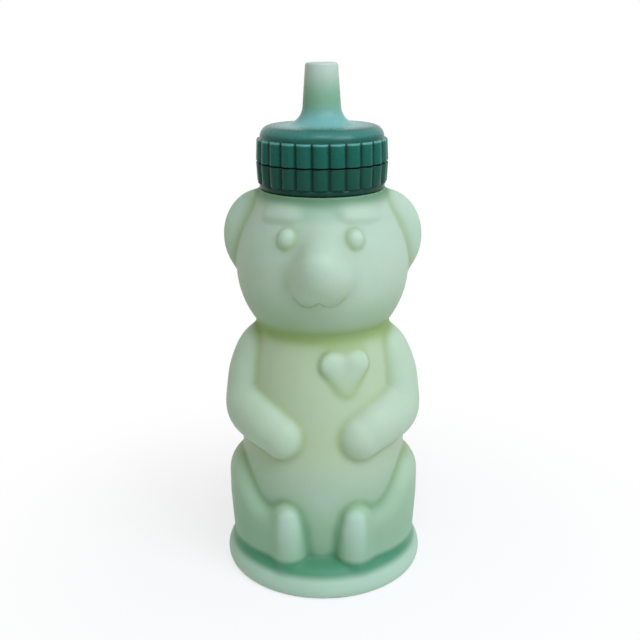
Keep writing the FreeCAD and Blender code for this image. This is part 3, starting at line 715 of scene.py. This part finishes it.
def fine_skin(shader, p, scale, strength):
    """The fine matte grain of a moulded skin."""
    feed(shader, "Normal", p.add("ShaderNodeBump", sockets={
        "Height": noise(p, scale), "Strength": strength, "Distance": GRAIN_DEPTH}))


print("grain", GRAIN_DEPTH / MM, "mm deep")

# %% [markdown]
# ## Milky silicone
# The bear is coloured through, with a soft matte skin. The colour runs from a warm grey green above to a
# deeper sea green near the base, where the wall meets the thick rim. Painted shade makes the folds yellow
# green on the body and sea green at the legs, by the crease of each point, and darkens the underside of the
# chin, the cove above the rim, the forehead between the brows and the land under the cap. Painted highlights
# make the toes paler towards their tops, and the rim paler. A little light scatters inside, as it does in
# real silicone.

# %% The bear's finish
SEA_GREEN = (0.21, 0.39, 0.23)
BODY_TONES = [
    ([("height", (14, 54))], 1, (0.41, 0.53, 0.38)),
    ([("height", (95, 130))], 1, (0.38, 0.50, 0.38)),
    # The shade under the chin.
    ([("height", (88, 91), (108, 92))], 0.72, (0.24, 0.38, 0.20)),
    # The bare chest and belly between the limbs.
    ([("proud", (1.2, 0.2)), ("height", (36, 55), (94, 88))], 0.8, (0.41, 0.51, 0.29)),
]
# Painted highlight on the toes, growing towards their tops.
TOE_HIGHLIGHT_PLACE = [("side", (17.5, 13.5)), ("back", (-27.5, -29.5)), ("height", (9.5, 16.0), (40.0, 33.0))]
TOE_HIGHLIGHT_LOW_SHARE, TOE_HIGHLIGHT_HIGH_SHARE, TOE_HIGHLIGHT_HEIGHTS, TOE_HIGHLIGHT_TONE = 0.25, 0.75, (14.0, 28.0), (0.44, 0.59, 0.50)
# Painted highlight: a paler rim.
RIM_HIGHLIGHT_TONES = [([("reach", (31.6, 33.4)), ("height", (9.5, 7.0))], 0.7, (0.42, 0.58, 0.47))]
CLOUD_SCALE, CLOUD_SHARE, CLOUD_TONE = 0.05, 0.4, (0.45, 0.58, 0.47)
# Painted shade in the folds, by the crease of each point: deep sea green low down, yellow green higher up.
FOLD_SHADE_LOW, FOLD_SHADE_HIGH, FOLD_SHADE_HEIGHTS = (0.06, 0.24, 0.11), (0.25, 0.37, 0.11), (15, 50)
FOLD_SHADE_CREASES, FOLD_SHADE_SHARE = (0.06, 1.0), 0.82
SHADE_TONES = [
    # The cove above the rim.
    ([("reach", (34.0, 32.0)), ("height", (12.5, 9.8))], 0.9, (0.05, 0.24, 0.12)),
    # The forehead between the brows.
    ([("side", (10.0, 4.0)), ("height", (125.0, 129.0)), ("back", (-5.0, -15.0))], 0.3, (0.09, 0.30, 0.165)),
    # The land under the cap.
    ([("height", (128.0, 133.5)), ("reach", (23.0, 20.5))], 0.9, (0.08, 0.21, 0.10)),
]
SILICONE_ROUGHNESS, SILICONE_ROUGHNESS_SPREAD, SILICONE_PATCH = 0.48, 0.12, 0.4
SILICONE_GRAIN, SILICONE_GRAIN_SHARE = 2.0, 0.15

shader, p = finish(silicone)
coordinates = named_coordinates(p)
height, reach = coordinates["height"], coordinates["reach"]
torso_arc, torso_in = BEAR["Torso Arc"], BEAR["Torso Radius"] - BEAR["Torso Arc"]
torso_reach = (torso_arc ** 2 - (height - BEAR["Torso Height"]) ** 2).sqrt() + torso_in
coordinates["proud"] = reach - torso_reach
# The painted highlight on the toes grows with height.
toe_highlight_share = height.step(*TOE_HIGHLIGHT_HEIGHTS) * (TOE_HIGHLIGHT_HIGH_SHARE - TOE_HIGHLIGHT_LOW_SHARE) + TOE_HIGHLIGHT_LOW_SHARE
body = lay(SEA_GREEN, coordinates, [*BODY_TONES, (TOE_HIGHLIGHT_PLACE, toe_highlight_share, TOE_HIGHLIGHT_TONE), *RIM_HIGHLIGHT_TONES])
body = (noise(p, CLOUD_SCALE) * CLOUD_SHARE).mix(body, CLOUD_TONE)
crease = p.add("ShaderNodeAttribute", {"attribute_name": "crease"}, output="Fac")
# The folds get painted shade by their crease.
fold_shade = height.step(*FOLD_SHADE_HEIGHTS).mix(FOLD_SHADE_LOW, FOLD_SHADE_HIGH)
colour = (crease.step(*FOLD_SHADE_CREASES) * FOLD_SHADE_SHARE).mix(body, fold_shade)
feed(shader, "Base Color", lay(colour, coordinates, SHADE_TONES))
feed(shader, "Roughness", noise(p, SILICONE_PATCH) * SILICONE_ROUGHNESS_SPREAD + SILICONE_ROUGHNESS)
fine_skin(shader, p, SILICONE_GRAIN, SILICONE_GRAIN_SHARE)
constants(shader, Subsurface_Weight=0.6, Subsurface_Radius=(0.7, 1.0, 0.6), Subsurface_Scale=0.006,
          Specular_IOR_Level=0.3)
print("bear finished:", len(silicone.node_tree.nodes), "nodes")

# %% [markdown]
# ## The cap
# The cap is two turned mouldings with pillow-shaped ribs for grip: a collar that screws on the neck and a
# spout cap that twists on the collar. A plain turned ring comes first, from an outline with small rounds at
# its corners, as a mould has them.

# %% Turned rings
ARC_STEP, ARC_STEPS_LEAST = 0.25, 3


def rounded(corners):
    """Points along a closed outline of (radius, height, round) corners, with an arc at each corner."""
    points = []
    for i, (r, z, size) in enumerate(corners):
        here = Vector((r, z))
        before = (Vector(corners[i - 1][:2]) - here).normalized()
        after = (Vector(corners[(i + 1) % len(corners)][:2]) - here).normalized()
        half = before.angle(after) / 2
        middle = here + (before + after).normalized() * size / math.sin(half)
        start = here + before * size / math.tan(half) - middle
        end = here + after * size / math.tan(half) - middle
        sweep = start.angle_signed(end)
        steps = max(ARC_STEPS_LEAST, round(abs(sweep) * size / ARC_STEP))
        for k in range(steps + 1):
            points.append(middle + Matrix.Rotation(-sweep * k / steps, 2) @ start)
    return points


def turned_ring(name, corners, steps):
    """A closed ring turned from an outline of corners, in millimetres."""
    bm = bmesh.new()
    rings = [ring(bm, r, z, steps) for r, z in rounded(corners)]
    for i in range(steps):
        strip(bm, [*rings, rings[0]], i, (i + 1) % steps)
    bmesh.ops.remove_doubles(bm, verts=bm.verts, dist=WELD)
    bmesh.ops.recalc_face_normals(bm, faces=bm.faces)
    mesh = bpy.data.meshes.new(name)
    bm.to_mesh(mesh)
    bm.free()
    return new_piece(name, mesh)


print("rings turn")

# %% [markdown]
# ## Grip ribs
# Both bands of the cap carry the same ribs, and the ribs meet across the seam. They could be set round one
# by one and joined to the ring. Pressing the grooves into the ring instead leaves one clean skin: Geometry
# Nodes pull in all that stands proud of the groove floor, most at the middle of each groove.

# %% Collar and spout cap
GRIP = {"Lobe Count": 24.0, "Pillow": 2.3, "Groove Floor": 20.1, "Grip Low": 135.8}
GRIP_FADE = 0.2
LOBE_STEPS = 20
# Corners of the outlines: radius, height, round.
COLLAR = [(18.9, 134.22, 0.2), (20.45, 134.22, 0.35), (20.45, 135.82, 0.2), (21.15, 135.82, 0.6),
          (21.5, 142.48, 0.35), (17.6, 142.48, 0.15), (17.6, 150.42, 0.3), (15.9, 150.42, 0.3),
          (15.9, 142.42, 0.2), (11.4, 142.42, 0.15), (11.4, 140.82, 0.15), (18.9, 140.82, 0.2)]
SPOUT = [(18.2, 142.76, 0.2), (21.5, 142.76, 0.35), (21.15, 150.12, 0.7), (20.1, 150.12, 0.3),
         (20.1, 153.92, 3.6), (6.6, 154.3, 6.0), (5.2, 173.32, 1.0), (3.4, 173.32, 0.6),
         (3.4, 156.72, 0.2), (4.7, 155.32, 0.2), (4.7, 151.72, 0.3), (18.2, 151.72, 1.8),
         (18.2, 145.82, 0.1), (19.2, 145.82, 0.1), (19.2, 144.22, 0.1), (18.2, 144.22, 0.1)]


def grip_tree(material, values):
    """Presses grooves into what lies outside the groove floor and above the lower end of the grip."""
    tree, size, outlet = new_tree("grip", values)
    position = source(tree, "GeometryNodeInputPosition")
    x, y, z = (position * (1 / MM)).parts()
    r = (x * x + y * y).sqrt()
    phase = x.math("ARCTAN2", x, -y) * (size["Lobe Count"] / (2 * math.pi)) + 0.5
    away = (x.math("FRACT", phase) * 2 - 1).abs()
    dip = away ** size["Pillow"]
    gripped = z.step(size["Grip Low"] - GRIP_FADE, size["Grip Low"])
    proud = (r - size["Groove Floor"]).most(0) * gripped
    share = 1 - proud * dip / r
    place = position * position.joined(share, share, 1)
    mesh = position.add("GeometryNodeSetPosition", sockets={"Geometry": size["Geometry"], "Position": place})
    end_tree(tree, mesh, material, outlet)
    return tree


collar_green = bpy.data.materials.new("collar_green")
spout_green = bpy.data.materials.new("spout_green")
for name, node, corners, material, slot, body in (
        ("ribbed_collar", "screw_collar", COLLAR, collar_green, "collar_plastic", "collar"),
        ("ribbed_spout", "spout_cap", SPOUT, spout_green, "spout_silicone", "spout")):
    piece = turned_ring(name, corners, int(GRIP["Lobe Count"]) * LOBE_STEPS)
    run_tree(grip_tree(material, GRIP), piece, GRIP)
    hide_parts(node)
    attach(piece, body)
    print(name, len(piece.data.polygons), "faces")

# %% [markdown]
# ## The cap's finish
# Both bands are a deep bottle green, with painted shade in the grooves and at the seam. Above the ribs the
# green grows paler and milkier, until the tip of the spout has nearly the bear's own tone; the pale deck
# round the spout is partly a painted highlight. A thin painted highlight runs along the tops of the ribs and
# the shoulder, and both have a weak coat of gloss. The cap is turned, so its tones go by height and reach.

# %% The cap's finish
LOWER_GREEN = (0.005, 0.058, 0.035)
CAP_TONES = [
    # The upper band, then painted shade in the grooves and everything further in, and in the seam.
    ([("height", (142.4, 142.8))], 1, (0.005, 0.088, 0.060)),
    ([("reach", (20.8, 20.15)), ("height", (151, 149.5))], 1, (0.002, 0.022, 0.016)),
    ([("height", (142.2, 142.45), (143.05, 142.8))], 1, (0.001, 0.008, 0.006)),
]
# A pale green for painted highlights.
PAINTED_HIGHLIGHT_GREEN = (0.12, 0.38, 0.34)
SPOUT_TONES = [
    # Painted highlights, paler edges: the shoulder, and the tops of the ribs.
    ([("height", (151.0, 152.2), (153.9, 153.0)), ("reach", (16.5, 17.5))], 0.25, PAINTED_HIGHLIGHT_GREEN),
    ([("height", (149.2, 149.7), (150.2, 149.9)), ("reach", (20.2, 20.5))], 0.6, PAINTED_HIGHLIGHT_GREEN),
    # The deck round the spout, paler partly as a painted highlight, then the spout and its tip.
    ([("reach", (20.0, 8.5)), ("height", (151.0, 153.8))], 1, (0.16, 0.38, 0.35)),
    ([("height", (156.0, 162.0))], 1, (0.185, 0.36, 0.225)),
    ([("height", (162.0, 173.0))], 1, (0.43, 0.51, 0.43)),
]
FLECK_SCALE, FLECK_SHARE, FLECK_TONE = 0.3, 0.06, (0.10, 0.30, 0.26)
CAP_ROUGHNESS, CAP_ROUGHNESS_SPREAD, CAP_PATCH = 0.24, 0.08, 0.5
CAP_GRAIN, CAP_GRAIN_SHARE = 2.5, 0.12
SHOULDER, SHOULDER_COAT_SHARE = [("height", (148.8, 149.6)), ("reach", (16.5, 18.0))], 0.15


def cap_finish(material, tones):
    """A green band with its tones; returns its shader and coordinates for what one band has alone."""
    shader, p = finish(material)
    coordinates = named_coordinates(p)
    colour = lay(LOWER_GREEN, coordinates, tones)
    feed(shader, "Base Color", (noise(p, FLECK_SCALE) * FLECK_SHARE).mix(colour, FLECK_TONE))
    feed(shader, "Roughness", noise(p, CAP_PATCH) * CAP_ROUGHNESS_SPREAD + CAP_ROUGHNESS)
    fine_skin(shader, p, CAP_GRAIN, CAP_GRAIN_SHARE)
    constants(shader, Specular_IOR_Level=0.1, Coat_Roughness=0.3)
    return shader, coordinates


cap_finish(collar_green, CAP_TONES)
shader, coordinates = cap_finish(spout_green, CAP_TONES + SPOUT_TONES)
feed(shader, "Coat Weight", place_mask(coordinates, SHOULDER) * SHOULDER_COAT_SHARE)
constants(shader, Subsurface_Weight=0.25, Subsurface_Radius=(0.6, 1.0, 0.9), Subsurface_Scale=0.003)
print("cap finished:", len(CAP_TONES) + len(SPOUT_TONES), "tones")

# %% [markdown]
# ## Threads
# The collar screws on the neck by a coarse right-hand thread, as on most squeeze bottles: one round ridge
# climbs the neck, another winds inside the collar, half a pitch apart. Each is a spiral swept with a round
# section, sunk to its middle in the wall. The pitch is that of the joint, so the ridges pass each other as
# the collar unscrews.

# %% Thread ridges
THREAD_PITCH, THREAD_RIDGE = 4.2, 0.75
THREAD_STEPS, SECTION_STEPS = 96, 12
NECK_RADIUS, NECK_THREAD_START, NECK_THREAD_TURNS = 17.4, 134.8, 0.9
COLLAR_BORE, COLLAR_THREAD_START, COLLAR_THREAD_TURNS = 18.9, 136.9, 0.7
# The print compares a ridge's first point with one that many steps on.
PROBE_STEPS = 20


def thread_tree(material, values):
    tree, size, outlet = new_tree("thread", values)
    reach = size["Radius"] * MM
    spiral = reach.add("GeometryNodeCurveSpiral", sockets={
        "Resolution": THREAD_STEPS, "Rotations": size["Turns"], "Start Radius": reach, "End Radius": reach,
        "Height": size["Turns"] * size["Pitch"] * MM, "Reverse": True})
    section = reach.add("GeometryNodeCurvePrimitiveCircle", {"mode": "RADIUS"},
                        {"Resolution": SECTION_STEPS, "Radius": size["Ridge"] * MM})
    ridge = reach.add("GeometryNodeCurveToMesh", sockets={
        "Curve": spiral, "Profile Curve": section, "Fill Caps": True})
    lift = reach.joined(0, 0, size["Start"] * MM)
    ridge = reach.add("GeometryNodeTransform", sockets={"Geometry": ridge, "Translation": lift})
    end_tree(tree, ridge, material, outlet)
    return tree


neck_plastic = bpy.data.materials.new("neck_plastic")
for name, radius, start, turns, material, slot, body in (
        ("neck_thread", NECK_RADIUS, NECK_THREAD_START, NECK_THREAD_TURNS,
         neck_plastic, "neck_plastic", "bottle"),
        ("collar_thread", COLLAR_BORE, COLLAR_THREAD_START, COLLAR_THREAD_TURNS,
         collar_green, "collar_plastic", "collar")):
    values = {"Radius": radius, "Pitch": THREAD_PITCH, "Ridge": THREAD_RIDGE, "Start": start, "Turns": turns}
    piece = new_piece(name)
    run_tree(thread_tree(material, values), piece, values)
    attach(piece, body)
    low, high = [piece.data.vertices[i].co for i in (0, PROBE_STEPS * SECTION_STEPS)]
    turn = math.degrees(math.atan2(low.xy.cross(high.xy), low.xy.dot(high.xy)))
    print(name, len(piece.data.polygons), "faces, turns", round(turn), "degrees while it climbs",
          round((high.z - low.z) / MM, 2), "mm")

# %% [markdown]
# ## Seals
# Under the cap lie a flat gasket, which the collar presses on the neck's lip, and a round ring between the
# collar's spigot and the spout cap. Both are soft rubber. Their solids could stay, but rubber has no sharp
# corners, so they are turned anew with full rounds.

# %% Gasket and ring
# Corners of the outlines: radius, height, round.
GASKET = [(13.6, 139.62, 0.4), (18.5, 139.62, 0.4), (18.5, 140.82, 0.4), (13.6, 140.82, 0.4)]
SEAL = [(17.7, 144.32, 0.65), (19.1, 144.32, 0.65), (19.1, 145.72, 0.65), (17.7, 145.72, 0.65)]
SEAL_STEPS = 160
gasket_rubber = bpy.data.materials.new("gasket_rubber")
seal_rubber = bpy.data.materials.new("seal_rubber")
for name, node, corners, material, slot, body in (
        ("gasket_ring", "neck_gasket", GASKET, gasket_rubber, "gasket_rubber", "gasket"),
        ("seal_ring", "spout_seal", SEAL, seal_rubber, "seal_rubber", "seal")):
    piece = turned_ring(name, corners, SEAL_STEPS)
    piece.data.materials.append(material)
    piece.data.shade_smooth()
    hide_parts(node)
    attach(piece, body)
    print(name, len(piece.data.polygons), "faces")

# %% [markdown]
# ## The parts inside
# The neck and the stopper are stiff plastic, turned with crisp edges, so they keep their solids and only
# get a finish. Plastic and rubber share one rule: a slightly cloudy colour between two tones, with a fine
# grain.

# %% Plastic and rubber
PLASTIC_CLOUD, PLASTIC_PATCH, PLASTIC_ROUGHNESS_SPREAD = 0.15, 0.6, 0.1
PLASTIC_GRAIN, PLASTIC_GRAIN_SHARE = 2.0, 0.1


def milky(material, deep, pale, roughness):
    """A stiff or soft plastic, a little cloudy, between a deep and a pale tone."""
    shader, p = finish(material)
    feed(shader, "Base Color", noise(p, PLASTIC_CLOUD).mix(deep, pale))
    feed(shader, "Roughness", noise(p, PLASTIC_PATCH) * PLASTIC_ROUGHNESS_SPREAD + roughness)
    fine_skin(shader, p, PLASTIC_GRAIN, PLASTIC_GRAIN_SHARE)
    constants(shader, Subsurface_Weight=0.3, Subsurface_Radius=(1.0, 1.0, 1.0), Subsurface_Scale=0.002)


stopper_plastic = bpy.data.materials.new("stopper_plastic")
milky(neck_plastic, deep=(0.58, 0.67, 0.60), pale=(0.70, 0.78, 0.72), roughness=0.35)
milky(stopper_plastic, deep=(0.36, 0.55, 0.47), pale=(0.44, 0.63, 0.55), roughness=0.32)
milky(gasket_rubber, deep=(0.68, 0.71, 0.68), pale=(0.78, 0.81, 0.78), roughness=0.5)
milky(seal_rubber, deep=(0.020, 0.024, 0.022), pale=(0.035, 0.040, 0.037), roughness=0.5)
for node, material in (("neck_insert", neck_plastic), ("stopper", stopper_plastic)):
    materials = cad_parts[node].data.materials
    materials.clear()
    materials.append(material)
print("inside finished")

# %% [markdown]
# ## The floor
# The photo is a cut-out on white. A sheet of pale paper carries the bottle and its shadow. A plain sheet
# would end in a grey horizon. This one glows to the eye, fully white further out, while the light that it
# throws on the bottle stays that of paper.

# %% Studio paper
FLOOR_HALF, FLOOR_DROP = 3.0, 0.2 * MM
PAPER, WHITE = (0.86, 0.87, 0.86), (1, 1, 1)
GLOW_REACHES, GLOW_NEAR_SHARE = (0.03, 0.16), 0.7


def seen(tree):
    """1 for what the camera sees, also mirrored or through glass, and 0 for light on the bottle."""
    path = tree.nodes.new("ShaderNodeLightPath")
    names = ("Is Camera Ray", "Is Glossy Ray", "Is Transmission Ray")
    straight, mirrored, through = [Wire(tree, path.outputs[name]) for name in names]
    return straight.most(mirrored).most(through)


floor_mesh = bpy.data.meshes.new("floor")
bm = bmesh.new()
bmesh.ops.create_grid(bm, x_segments=1, y_segments=1, size=FLOOR_HALF)
bm.to_mesh(floor_mesh)
bm.free()
floor = new_piece("floor", floor_mesh)
floor.location.z = -FLOOR_DROP

paper = bpy.data.materials.new("studio_paper")
paper.use_nodes = True
tree = paper.node_tree
tree.nodes.clear()
output = tree.nodes.new("ShaderNodeOutputMaterial")
visible = seen(tree)
matte = visible.add("ShaderNodeBsdfDiffuse", sockets={"Color": PAPER})
glow = visible.add("ShaderNodeEmission", sockets={"Color": WHITE, "Strength": 1.0})
away = source(tree, "ShaderNodeTexCoord", "Object").length().step(*GLOW_REACHES)
share = visible * (away * (1 - GLOW_NEAR_SHARE) + GLOW_NEAR_SHARE)
mixed = visible.add("ShaderNodeMixShader", sockets={0: share, 1: matte, 2: glow})
tree.links.new(mixed.socket, output.inputs["Surface"])
floor_mesh.materials.append(paper)
print("floor", round(2 * FLOOR_HALF, 1), "m wide")

# %% [markdown]
# ## Light
# A large soft lamp stands to the upper right and a smaller, weaker one in front, above the camera. A
# picture of a studio could light the bottle too, but two lamps are easier to set by the photo's highlights.
# The world is white to the eye and fills the shadows with a softer, slightly warm light.

# %% Lamps and world
FILL = (0.43, 0.43, 0.37)
LAMP_TINT = (0.94, 0.99, 1.22)
LAMP_TARGET = Vector((0, 0, 0.1))

world = bpy.data.worlds.new("studio")
bpy.context.scene.world = world
world.use_nodes = True
feed(world.node_tree.nodes["Background"], "Color", seen(world.node_tree).mix(FILL, WHITE))


def lamp(name, place, size, energy):
    light = bpy.data.lights.new(name, "AREA")
    light.energy = energy
    light.size = size
    light.color = LAMP_TINT
    stand = bpy.data.objects.new(name, light)
    bpy.context.scene.collection.objects.link(stand)
    stand.location = place
    stand.rotation_euler = (LAMP_TARGET - stand.location).to_track_quat("-Z", "Y").to_euler()
    print("lamp", name, "at", place)


lamp("key", place=(0.44, -0.40, 0.58), size=0.40, energy=3.45)
lamp("top", place=(0.02, -0.40, 0.74), size=0.26, energy=1.7)
